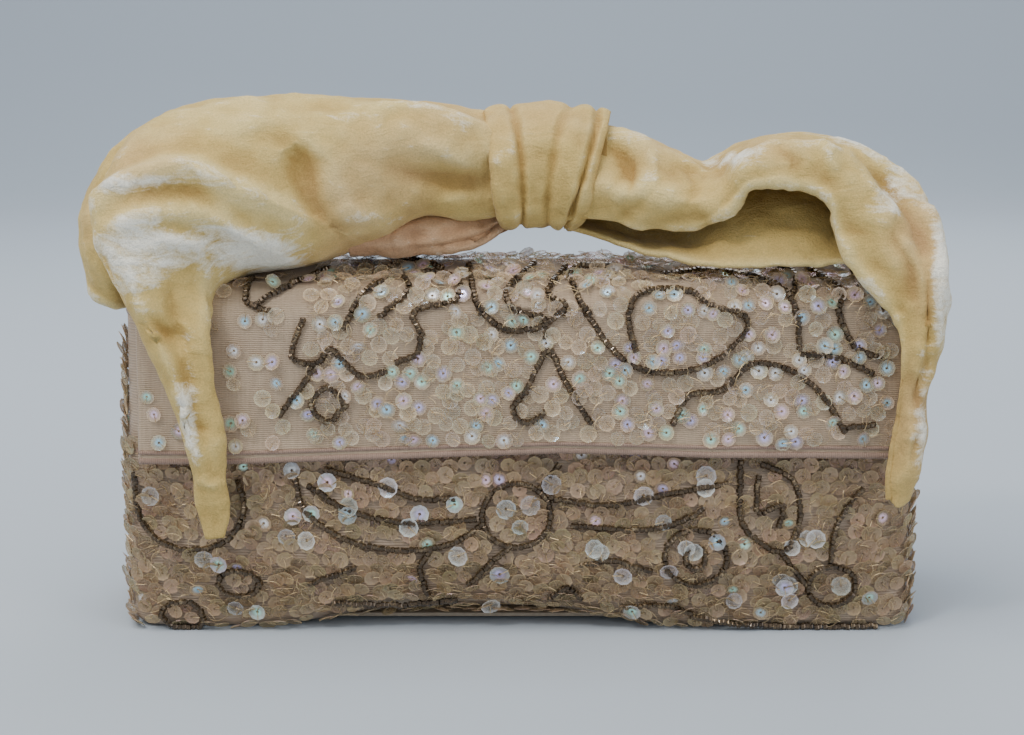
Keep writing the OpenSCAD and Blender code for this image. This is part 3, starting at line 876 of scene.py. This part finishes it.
def roll(name, material, edges, depths, fineness, cap, seed, broad, stands_for):
    """The band's back half, turned down outside one side of the bag and closed below."""
    grid = sleeve(*edges, *depths, *fineness)
    tip = grid[-1].mean(axis=0)
    shares = (0.9, 0.7, 0.45, 0.2, 0.02)
    closed = [tip + (grid[-1] - tip) * k + [0, 0, -cap * (1 - k**2) ** 0.5] for k in shares]
    grid = crumpled(np.concatenate([grid, closed]), True, seed, broad, 0.5)
    piece = cloth_piece(name, grid, True)
    finish_of(piece, material, "velvet", "handle", stands_for)


def make_left_roll(material):
    lower = [(-70, 112), (-88, 108), (-103, 104), (-115.6, 98), (-116.6, 92)]
    upper = [(-72, 150), (-98, 151), (-118, 141), (-131, 121), (-130.5, 97)]
    depths = [-8, -10, -14, -17, -9], [12, 13, 15, 26, 24]
    roll("left_roll", material, (lower, upper), depths, (90, 80), 2.6, 9, 1.2, "left_fold")


def strip(stations, rows, columns):
    """A surface through stations of points across the cloth, smooth both ways."""
    across = np.stack([smooth_through(station, columns) for station in np.array(stations, float)])
    return smooth_through(across, rows)


def make_right_sash(material):
    """From the knot to the right as a strip folded lengthwise and open to the front, then down
    over the bag's side to a pinch, and out again as the right tail."""
    stations = [
        [(13, -15, 120), (13, -18, 131), (13, -8, 148), (13, 5, 145), (13, 8.5, 132), (13, 4, 120),
         (13, -8, 116)],
        [(24, -18, 120), (24, -21, 131), (24, -9, 146), (24, 5, 143), (24, 9.5, 130), (24, 4, 117),
         (24, -10, 113)],
        [(36, -20, 117.5), (36, -24, 129), (36, -12, 142), (36, 4, 139), (36, 10, 127), (36, 5, 114),
         (36, -15, 109)],
        [(49, -24, 118), (48, -26, 127), (47, -12, 137), (47, 5, 135), (47, 8, 124), (47, -2, 113),
         (47, -21, 107.8)],
        [(58, -30, 124), (57, -27, 130), (56, -11, 133), (56, 6, 133), (56, -3, 124), (56, -15, 115),
         (56, -26, 107.6)],
        [(66, -34, 132), (66, -30, 138), (66, -12, 141), (66, 6, 138), (66, -8, 128), (66, -20, 117),
         (66, -28, 107.6)],
        [(84, -36, 130), (86, -30, 140), (88, -11, 143), (88, 7, 138), (88, -8, 129), (86, -21, 117),
         (82, -29, 107.8)],
        [(91, -38, 113), (100, -36, 128), (106, -18, 136), (107, 6, 132), (107, 0, 121), (102, -13, 112),
         (94, -29, 108.5)],
        [(104, -41, 97), (112, -42, 106), (118, -32, 115), (120, -6, 115), (120, 8, 109), (118, 6, 102),
         (110, -30, 103)],
        [(107.5, -41, 86), (113.5, -43.5, 89), (119, -38, 93), (121, -20, 96), (121, -6, 95),
         (119.5, -6, 91), (113, -34, 88)],
        [(107.5, -39.5, 71), (110, -42, 71), (113.5, -41, 72), (115, -35, 73), (114.5, -31, 73),
         (112, -32, 72), (109, -36, 71)],
        [(106, -39, 60), (109, -42, 59), (113, -42, 60), (115, -38.5, 61), (113, -36, 61),
         (110, -35.5, 60.5), (107, -36.5, 60)],
        [(105, -39, 51), (108, -42, 50), (112, -41.5, 51), (113.5, -38.5, 51.5), (112, -36, 51.5),
         (109, -35.5, 51), (106, -36.5, 51)],
        [(105, -39, 42), (107, -40.5, 40), (109.5, -40, 40.5), (111, -38.5, 42), (109.5, -37, 42),
         (107, -37, 41.5), (105.5, -38, 42)],
    ]
    smooth = grid = strip(stations, 190, 84)
    grid = gather(grid, 0.0, 0.3, 4, 1.3, 1.9, around=False)
    grid = crumpled(grid, False, 21, 1.2, 0.9)
    for path, height, above, below in (
        ([(24, 142), (31, 134), (30, 122)], -3.0, 2.4, 2.4),
        ([(34, 144), (38, 134), (38, 124)], 2.4, 3, 3),
        ([(46, 138), (50, 130), (48, 122)], -2.0, 3, 3),
        ([(56, 134), (64, 138), (78, 138), (92, 136)], 2.4, 3, 4),
        ([(92, 140), (102, 130), (110, 118), (112, 104)], -3.0, 3, 3),
        ([(100, 140), (110, 130), (116, 116), (117, 98)], 2.4, 3, 3),
        ([(113, 112), (113, 98), (114, 84), (113, 70)], -2.4, 2.4, 2.4),
        ([(109, 66), (110, 56), (109, 46)], 1.6, 2, 2),
        ([(118, 108), (116, 96), (117, 84)], 2.2, 1.8, 3),
        ([(108, 120), (104, 112), (108, 104), (110, 92)], -2.0, 1.8, 1.8),
        ([(114, 78), (111, 70), (113, 62)], -1.8, 1.6, 1.6),
        ([(114, 60), (111, 54), (110, 48)], -1.2, 1.5, 1.5),
        ([(70, 140), (76, 134), (74, 130)], -2.0, 2, 2),
        ([(84, 142), (86, 134), (90, 130)], 2.0, 2, 2.4),
    ):
        grid = fold(grid, path, height, above, below, around=False)
    grid = calm_end(smooth, grid)
    grid = rolled_lip(grid)
    # Patches of painted white sheen on the right sash, as (across, height seen, half width, half height).
    piece = cloth_piece("right_sash", grid, False, 1.5, [
        (98, 142, 14, 4), (118, 100, 4, 20), (113, 62, 3, 16), (60, 136, 8, 3), (104, 126, 6, 8),
    ])
    finish_of(piece, material, "velvet", None, "right_wing", "right_tail")
    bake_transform(piece)


def rolled_lip(grid):
    """Curls the front edge of the open strip back into a soft roll."""
    rows = grid.shape[0]
    edge = grid[:, 0].copy()
    inward = unit(grid[:, 6] - edge)
    normals = surface_normals(grid)[:, 2]
    side = np.sign(((grid.mean(axis=1) - edge) * normals).sum(axis=1, keepdims=True))
    size = np.interp(np.linspace(0, 1, rows), [0, 0.12, 0.3, 0.6, 0.75, 1],
        [0.2, 1.6, 2.6, 2.2, 0.6, 0.3])[:, None]
    curl = []
    for turned in np.linspace(math.pi * 1.25, 0.0, 8)[:-1]:
        curl.append(edge + normals * side * size * (1 - np.cos(turned)) - inward * size * np.sin(turned))
    return np.concatenate([np.stack(curl, axis=1), grid], axis=1)


def make_right_roll(material):
    lower = [(104, 110), (116.5, 104), (118.4, 92), (118.6, 80), (118.8, 73)]
    upper = [(107, 132), (117, 126), (123, 111), (123, 90), (121.5, 75)]
    depths = [-8, -14, -18, -20, -16], [14, 22, 28.5, 27, 6]
    roll("right_roll", material, (lower, upper), depths, (80, 72), 2.4, 33, 0.9, "right_fold")


def make_under_layer(material):
    """The strip's back layer, seen below the left wing's arched edge near the knot."""
    stations = [
        [(-4, -4, 124), (-4, -7, 119), (-4, -4, 117.5), (-4, 6, 116)],
        [(-14, -6, 122), (-14, -11, 114), (-14, -6, 110.5), (-14, 8, 109.5)],
        [(-32, -8, 122), (-32, -14, 112), (-32, -6, 108.5), (-32, 10, 108)],
        [(-50, -9, 120), (-50, -15, 112), (-50, -6, 108), (-50, 11, 108)],
    ]
    grid = strip(stations, 90, 60)
    grid = gather(grid, 0.0, 1.4, 3, 1.1, 0.4, around=False)
    grid = crumpled(grid, False, 51, 0.9, 0.8)
    piece = cloth_piece("under_layer", grid, False, 1.2)
    finish_of(piece, material, "velvet", "handle")


def make_knot(material):
    """The short strip wound round the middle, in soft folds."""
    angles = circle(120)
    shares = np.linspace(-1, 1, 96)
    centre = (knot_low + knot_high) / 2
    half = (knot_high - knot_low) / 2
    creases = ((-0.52, 0.12, 0.07, 2.4), (0.3, 0.2, 0.1, 1.9), (0.66, -0.14, 0.06, 2.6))
    top = 0.5 + 0.5 * np.cos(angles)
    grid = np.zeros((len(shares), len(angles), 3))
    for row, share in enumerate(shares):
        folds = 0.7 * np.sin(share * 4 + 1.4 * np.cos(angles + 0.6))
        for place, slant, spread, deep in creases:
            gap = np.abs((share - place - slant * np.cos(angles + 4 * place)) / spread)
            folds = folds - deep * np.exp(-gap**1.4)
        rim = (np.abs(share) ** 8) * 2.4
        radius_y = half[1] + 0.8 + folds - rim
        radius_z = half[2] + folds * 0.7 - rim
        grid[row, :, 0] = centre[0] - 2.0 + 2.0 * top + share * half[0] * (0.74 + 0.36 * top)
        grid[row, :, 1] = centre[1] - radius_y * np.sin(angles)
        grid[row, :, 2] = centre[2] + radius_z * np.cos(angles)
    grid = crumpled(grid, True, 41, 0.9, 0.6)
    piece = cloth_piece("knot_strip", grid, True, 1.5)
    finish_of(piece, material, "velvet", "handle", "knot_wrap")


# ---------------------------------------------------------------- sequins and beads

# Scrolls on the flap, as (across, height as seen from the front) in millimetres
FLAP_SCROLLS = [
    [(-78, 102), (-78, 95), (-70, 92)],
    [(-76, 94), (-66, 100), (-56, 106)],
    [(-62, 90), (-65, 80), (-58, 78), (-54, 82), (-50, 78), (-45, 74), (-37, 76)],
    [(-59, 76), (-69, 63)],
    [(-50, 88), (-45, 97), (-39, 101)],
    [(-34, 102), (-32, 98), (-41, 90)],
    [(-42, 104), (-33, 108), (-23, 105)],
    [(-28, 104), (-19, 102), (-18, 96), (-30, 92), (-28, 86)],
    [(-28, 86), (-30, 80), (-36, 78)],
    [(-15, 106), (-12, 94), (-4, 87), (6, 88), (13, 94), (8, 98), (14, 106)],
    [(4, 106), (-4, 98), (0, 92), (7, 90), (7, 84)],
    [(20, 60), (13, 72), (8, 81), (2, 70), (-2, 64), (2, 60), (8, 64)],
    [(27, 106), (16, 105), (16, 98), (25, 83), (34, 76), (46, 75), (57, 79), (65, 88), (62, 92), (54, 94),
     (48, 98), (36, 98), (31, 92), (33, 80)],
    [(42, 103), (56, 104), (70, 101), (78, 95), (80, 81)],
    [(70, 106), (80, 104), (77, 95)],
    [(91, 107), (85, 105), (92, 98), (91, 92), (96, 82), (104, 79)],
    [(98, 104), (104, 99), (104, 92)],
    [(81, 80), (91, 79), (102, 74)],
    [(44, 60), (48, 68), (58, 70), (66, 77), (76, 76), (86, 69), (93, 58)],
    [(93, 59), (102, 60)],
    [(-50, 66), (-55, 61), (-60, 66), (-55, 71), (-50, 66)],
]
# Scrolls on the front of the body, as (across, height)
BODY_SCROLLS = [
    [(-112, 46), (-110, 32), (-100, 25), (-86, 27), (-80, 36), (-82, 46)],
    [(-65, 45), (-62, 36), (-50, 28), (-35, 25), (-20, 27), (-10, 33)],
    [(-61, 43), (-48, 36), (-32, 33), (-12, 34)],
    [(-56, 48), (-42, 44), (-30, 40), (-18, 40)],
    [(-26, 25), (-29, 20), (-27, 10)],
    [(6, 43), (12, 50)],
    [(9, 40), (25, 38), (42, 41), (60, 44)],
    [(15, 32), (36, 31), (48, 34), (54, 38)],
    [(-3, 26), (-9, 21), (-15, 14)],
    [(9, 9), (14, 13), (19, 8)],
    [(18, 21), (28, 22), (39, 19)],
    [(64, 50), (64, 34), (70, 27), (77, 25), (81, 34), (79, 45), (69, 50)],
    [(69, 46), (69, 36), (76, 38), (75, 31)],
    [(76, 24), (84, 14)],
    [(99, 42), (92, 32), (90, 20)],
    [(-54, 8), (-36, 6), (-18, 8)],
    [(30, 7), (44, 8), (55, 4), (80, 2), (107, 2)],
    [(-61, 15), (-48, 20)],
]
# Rings on the front of the body, as (across, height, half width, half height)
BODY_RINGS = [(-82, 15, 6, 4), (-99, 5, 6, 4), (51, 23, 9, 8), (51, 23, 3, 3), (-1, 35, 10, 9),
    (91, 14, 7, 6)]


def ring_route(x, z, half_x, half_z):
    turns = np.linspace(0, full_turn, 17)
    return [(x + half_x * math.cos(a), z + half_z * math.sin(a)) for a in turns]


def flap_share_at(seen):
    """The share of the way down the flap at a height as seen from the front, a little above level."""
    shares = np.linspace(0.05, 1, 400)
    looks = seen_height(np.stack([shares, *flap_section(shares, wall)], axis=-1))
    top = int(np.argmax(looks))
    return np.interp(-np.asarray(seen, float), -looks[top:], shares[top:])


def spun(profile, sides):
    """Points and faces of one small round shape, spun from its profile of (radius, height)."""
    mesh = bpy.data.meshes.new("profile")
    count = len(profile)
    mesh.from_pydata([(r, 0, z) for r, z in profile], [(k, (k + 1) % count) for k in range(count)], [])
    shape = in_scene("profile", mesh)
    select_only(shape)
    bpy.ops.object.mode_set(mode="EDIT")
    bpy.ops.mesh.select_all(action="SELECT")
    bpy.ops.mesh.spin(steps=sides, angle=full_turn, center=(0, 0, 0), axis=(0, 0, 1))
    bpy.ops.mesh.select_all(action="SELECT")
    bpy.ops.mesh.remove_doubles(threshold=0.0005)
    bpy.ops.mesh.normals_make_consistent(inside=False)
    bpy.ops.object.mode_set(mode="OBJECT")
    points = np.array([v.co[:] for v in mesh.vertices])
    faces = np.array([face.vertices[:] for face in mesh.polygons])
    bpy.data.objects.remove(shape)
    return points, faces


def cup_shape():
    """One cupped sequin with a flat middle and a hole."""
    return spun([(0.42, -0.06), (0.42, 0.06), (1.2, 0.05), (1.34, 0.09), (2.5, 0.5), (2.5, 0.36)], 9)


def bead_shape():
    """One cut bead, its hole's line along Z."""
    return spun([(0.38, -0.65), (0.8, -0.65), (0.95, -0.32), (0.95, 0.32), (0.8, 0.65), (0.38, 0.65)], 6)


def scatter(name, shape, places, axes, sizes, tints=None, glints=None, mirrors=None):
    """One mesh of many copies of a shape, each at its place, on its own axes and at its own size.
    The glints are the tints of the shape's flat middle."""
    points, faces = shape
    count = len(places)
    turned = np.einsum("pk,nkc->npc", points, axes) * sizes[:, None, None] + places[:, None, :]
    all_faces = faces[None] + (np.arange(count) * len(points))[:, None, None]
    piece = new_piece(name, turned.reshape(-1, 3), all_faces.reshape(-1, faces.shape[1]).tolist())
    piece.data.polygons.foreach_set("use_smooth", [False] * len(piece.data.polygons))
    if tints is not None:
        middle = np.hypot(points[:, 0], points[:, 1]) < 1.25
        rgba = np.ones((count, len(points), 4))
        rgba[:, :, :3] = np.where(middle[None, :, None], glints[:, None], tints[:, None])
        give(piece, "tint", "FLOAT_COLOR", rgba)
        give(piece, "mirror", "FLOAT", mirrors[:, None] * middle)
        give(piece, "rim", "FLOAT", np.tile(np.hypot(points[:, 0], points[:, 1]) > 2.0, (count, 1)))
    return piece


def tilted_axes(normals, ups, lean_down, spread):
    """Axes for each sequin: tipped downwards like scales, and a little at random."""
    sides = np.cross(ups, normals)
    tips = lean_down + rng.normal(0, spread, len(normals))
    rolls = rng.normal(0, spread, len(normals))
    tip, roll_over = np.sin(tips)[:, None], np.sin(rolls)[:, None]
    facing = unit(normals * np.cos(tips)[:, None] - ups * tip + sides * roll_over)
    spin = rng.uniform(0, full_turn, (len(normals), 1))
    first = unit(np.cross(ups, facing))
    second = np.cross(facing, first)
    cos, sin = np.cos(spin), np.sin(spin)
    first, second = first * cos + second * sin, second * cos - first * sin
    return np.stack([first, second, facing], axis=1), np.abs(np.sin(tips)) + np.abs(np.sin(rolls))


def sequin_tints(count, plain, spark_share):
    """For each sequin its tint, its middle's tint, and how much the middle mirrors: on some the middle is painted
    as a lilac, sky, mint or white glint."""
    # Colours of the painted glints on the sequins' middles.
    sparks = [(0.74, 0.66, 1.0), (0.55, 0.84, 1.0), (0.6, 1.0, 0.84), (1.0, 1.0, 1.0), (1.0, 0.74, 0.92)]
    tints = np.array(plain) * rng.uniform(0.7, 1.25, (count, 1)) * rng.uniform(0.94, 1.06, (count, 3))
    lit = rng.random(count) < spark_share
    chosen = np.array(sparks)[rng.integers(0, len(sparks), count)]
    glints = np.where(lit[:, None], chosen, tints)
    return tints.clip(0, 1), glints.clip(0, 1), np.where(lit, 0.3, 0.0)


def staggered(low_a, high_a, low_b, high_b, step_a, step_b, jitter):
    """Rows of places, each row offset by half a step, a little uneven."""
    across = np.arange(low_a, high_a, step_a)
    rows = np.arange(low_b, high_b, step_b)
    places = [(a + (step_a / 2 if k % 2 else 0), b) for k, b in enumerate(rows) for a in across]
    places = np.array(places) + rng.normal(0, jitter, (len(places), 2))
    return places[:, 0], places[:, 1]


def clear_of(points, lines, gap):
    """Which points keep a gap from all the beads."""
    keep = np.ones(len(points), bool)
    for start in range(0, len(points), 400):
        block = points[start:start + 400]
        near = np.linalg.norm(block[:, None] - lines[None], axis=2).min(axis=1)
        keep[start:start + 400] = near > gap
    return keep


def sew_sequins(name, body, place, a, b, beads, plain, look, stands_for, lean_down, spread, sparks,
                gap=1.4, size=1.0, lift=0.35):
    """Sequins on a surface, each with the thread that holds it."""
    where, normals, ups = place(a, b, np.zeros(len(a)))
    keep = clear_of(where, beads, gap)
    a, b, normals, ups = a[keep], b[keep], normals[keep], ups[keep]
    axes, tilt = tilted_axes(normals, ups, lean_down, spread)
    sizes = size * rng.uniform(0.86, 1.06, len(a))
    where, _, _ = place(a, b, lift + 1.5 * tilt * rng.uniform(0.8, 1.2, len(a)))
    piece = scatter(name, cup_shape(), where, axes, sizes, *sequin_tints(len(a), plain, sparks))
    finish_of(piece, look, "sequin", body, *stands_for)
    stitch = [(x, y, z) for low, x in ((0.1, 0.1), (0.62, 2.7))
              for y, z in ((-0.1, low), (0.1, low), (0, low + 0.16))]
    stitch_faces = np.array([(0, 3, 4, 1), (1, 4, 5, 2), (2, 5, 3, 0)])
    thread = scatter(name + "_threads", (np.array(stitch), stitch_faces), where, axes, sizes)
    finish_of(thread, gold_thread, "binding", body)


def loose_threads(name, body, place, a, b):
    """Short curved ends of thread that stand a little off the cloth."""
    steps = np.linspace(0, 1, 6)
    arch = np.stack([4.4 * steps - 2.2, 1.5 * np.sin(steps * 2.6), 0.75 * np.sin(steps * math.pi)], 1)
    around = 0.09 * np.array([(0, 1, 0), (0, -0.5, 0.87), (0, -0.5, -0.87)])
    points = (arch[:, None] + around[None]).reshape(-1, 3)
    ring = [(i, (i + 1) % 3, 3 + (i + 1) % 3, 3 + i) for i in range(3)]
    faces = np.concatenate([np.array(ring) + 3 * k for k in range(5)])
    where, normals, ups = place(a, b, np.full(len(a), 0.75))
    axes, _ = tilted_axes(normals, ups, 0.0, 0.12)
    piece = scatter(name, (points, faces), where, axes, rng.uniform(0.6, 1.35, len(a)))
    finish_of(piece, gold_thread, "binding", body)


def string_beads(name, body, place, routes, look, stands_for, out=0.95):
    """Beads strung end to end along each route; gives their places."""
    bead_step = 1.36
    parts = []
    for a, b in routes:
        line, normal, _ = place(a, b, np.full(len(a), out))
        along = run_along(line)
        marks = np.arange(0, along[-1], bead_step)
        beads = read_at(marks, along, line)
        ahead = np.gradient(beads, axis=0) if len(beads) > 1 else np.tile([[1.0, 0, 0]], (len(beads), 1))
        parts.append((beads, ahead, read_at(marks, along, normal)))
    centres, tangents, normals = (np.concatenate(part) for part in zip(*parts))
    wander = rng.normal(0, 0.1, tangents.shape)
    tangents = unit(tangents + wander * np.linalg.norm(tangents, axis=1, keepdims=True))
    sides = unit(np.cross(normals, tangents))
    axes = np.stack([sides, np.cross(tangents, sides), tangents], axis=1)
    centres = centres + rng.normal(0, 0.12, centres.shape)
    piece = scatter(name, bead_shape(), centres, axes, rng.uniform(0.9, 1.08, len(centres)))
    finish_of(piece, look, "bead", body, stands_for)
    return centres


def embroider(cup, scale, bead):
    """All the sequins and beads, panel by panel."""
    routes = []
    for scroll in FLAP_SCROLLS:
        line = spaced(scroll, 0.6)
        routes.append((line[:, 0], flap_share_at(line[:, 1])))
    beads = string_beads("flap_scrolls", "flap", flap_place, routes, bead, "flap_beads")
    x, down = staggered(-flap_half + 4, flap_half - 4, 10, 95, 4.7, 4.0, 0.95)
    t = down / flap_length
    keep = (rng.random(len(x)) < np.where(x < -60, 0.4, 0.93)) & (t < 0.955) & (np.abs(x) < flap_half - 3)
    sew_sequins("flap_cups", "flap", flap_place, x[keep], t[keep], beads, (0.78, 0.63, 0.42), cup,
                ["flap_sequins"], 0.1, 0.2, 0.42)
    x, t = rng.uniform(-60, flap_half - 4, 900), rng.uniform(0.12, 0.95, 900)
    loose_threads("flap_loose_threads", "flap", flap_place, x, t)

    golden = (0.5, 0.375, 0.225)
    on_body = "bag", body_place
    routes = []
    for scroll in BODY_SCROLLS + [ring_route(*ring) for ring in BODY_RINGS]:
        line = spaced(scroll, 0.6)
        routes.append((line[:, 0], np.maximum(line[:, 1], 1.8)))
    beads = string_beads("front_scrolls", *on_body, routes, bead, "front_beads", 1.7)
    g, z = staggered(-straight_x - 8, straight_x + 8, 3.0, 56, 4.0, 3.3, 0.55)
    sew_sequins("front_cups", *on_body, g, z, beads, golden, scale, ["front_sequins"], 0.34, 0.17, 0.03, 2.0)
    g, z = rng.uniform(-straight_x, straight_x, 44), rng.uniform(5, 48, 44)
    g, z = np.append(g, [-4, 3, 0]), np.append(z, [37, 38, 32])
    sew_sequins("front_paillettes", *on_body, g, z, beads, (0.82, 0.82, 0.78), cup, [], 0.1, 0.14, 0.35,
                0.0, 1.16, 1.5)
    g, z = rng.uniform(-straight_x, straight_x, 900), rng.uniform(3, 52, 900)
    loose_threads("front_loose_threads", *on_body, g, z)

    back = round_length / 2
    routes = [(back - a, b + 16) for a, b in routes]
    beads = string_beads("back_scrolls", *on_body, routes, bead, "back_beads", 1.7)
    g, z = staggered(back - straight_x - 8, back + straight_x + 8, 3.0, back_top - 3, 4.7, 4.1, 0.5)
    sew_sequins("back_cups", *on_body, g, z, beads, golden, scale, ["back_sequins"], 0.3, 0.15, 0.03, 2.0)
    start = straight_x + arc
    nowhere = np.array([[0, 0, -99.0]])
    for side, name in ((1, "right_side_cups"), (-1, "left_side_cups")):
        g, z = staggered(start - 4, start + 2 * straight_y + 4, 3.5, front_top - 4, 4.7, 4.1, 0.5)
        keep = np.abs(g - start - straight_y) < straight_y * (1 - 0.1 * z / front_top) + 4
        sew_sequins(name, *on_body, side * g[keep], z[keep], nowhere, golden, scale, [], 0.3, 0.15, 0.03)


# ---------------------------------------------------------------- build

picture()
silk = ribbed_silk("blush_faille", (0.55, 0.42, 0.29), (0.33, 0.23, 0.15), 0.0006, "X")
body_silk = ribbed_silk("body_faille", (0.52, 0.4, 0.29), (0.32, 0.23, 0.16))
binding_silk = ribbed_silk("binding_silk", (0.42, 0.28, 0.21), (0.24, 0.15, 0.11), 0.0006)
champagne = satin("champagne_satin", (0.72, 0.6, 0.44), (0.5, 0.38, 0.26))
pile = velvet()
make_body(body_silk, champagne, binding_silk)
make_flap(silk, binding_silk)
make_left_sash(pile)
make_left_roll(pile)
make_right_sash(pile)
make_right_roll(pile)
# The layer under the left wing gets a pinker velvet, painted darker as shade under the wing.
make_under_layer(velvet("velvet_under_shaded", (0.52, 0.31, 0.17), (0.7, 0.48, 0.3), (0.26, 0.13, 0.06)))
make_knot(pile)
gold_thread = thread_finish()
embroider(sequin_film("cup_sequin", 0.13, 0.12, 380.0), sequin_film("scale_sequin", 0.48, 0.34, 320.0),
    bronze_bead())
finishes = {"silk": silk, "binding": binding_silk, "satin": champagne, "velvet": pile,
            "board": paper_board(), "snap_metal": nickel()}
slots = {subpart["node"]: subpart["material_slot"] for subpart in frame["record"]["subparts"]}
for node_name, piece in frame["nodes"].items():
    if not piece.hide_render:
        piece.data.materials.clear()
        piece.data.materials.append(finishes[slots[node_name]])
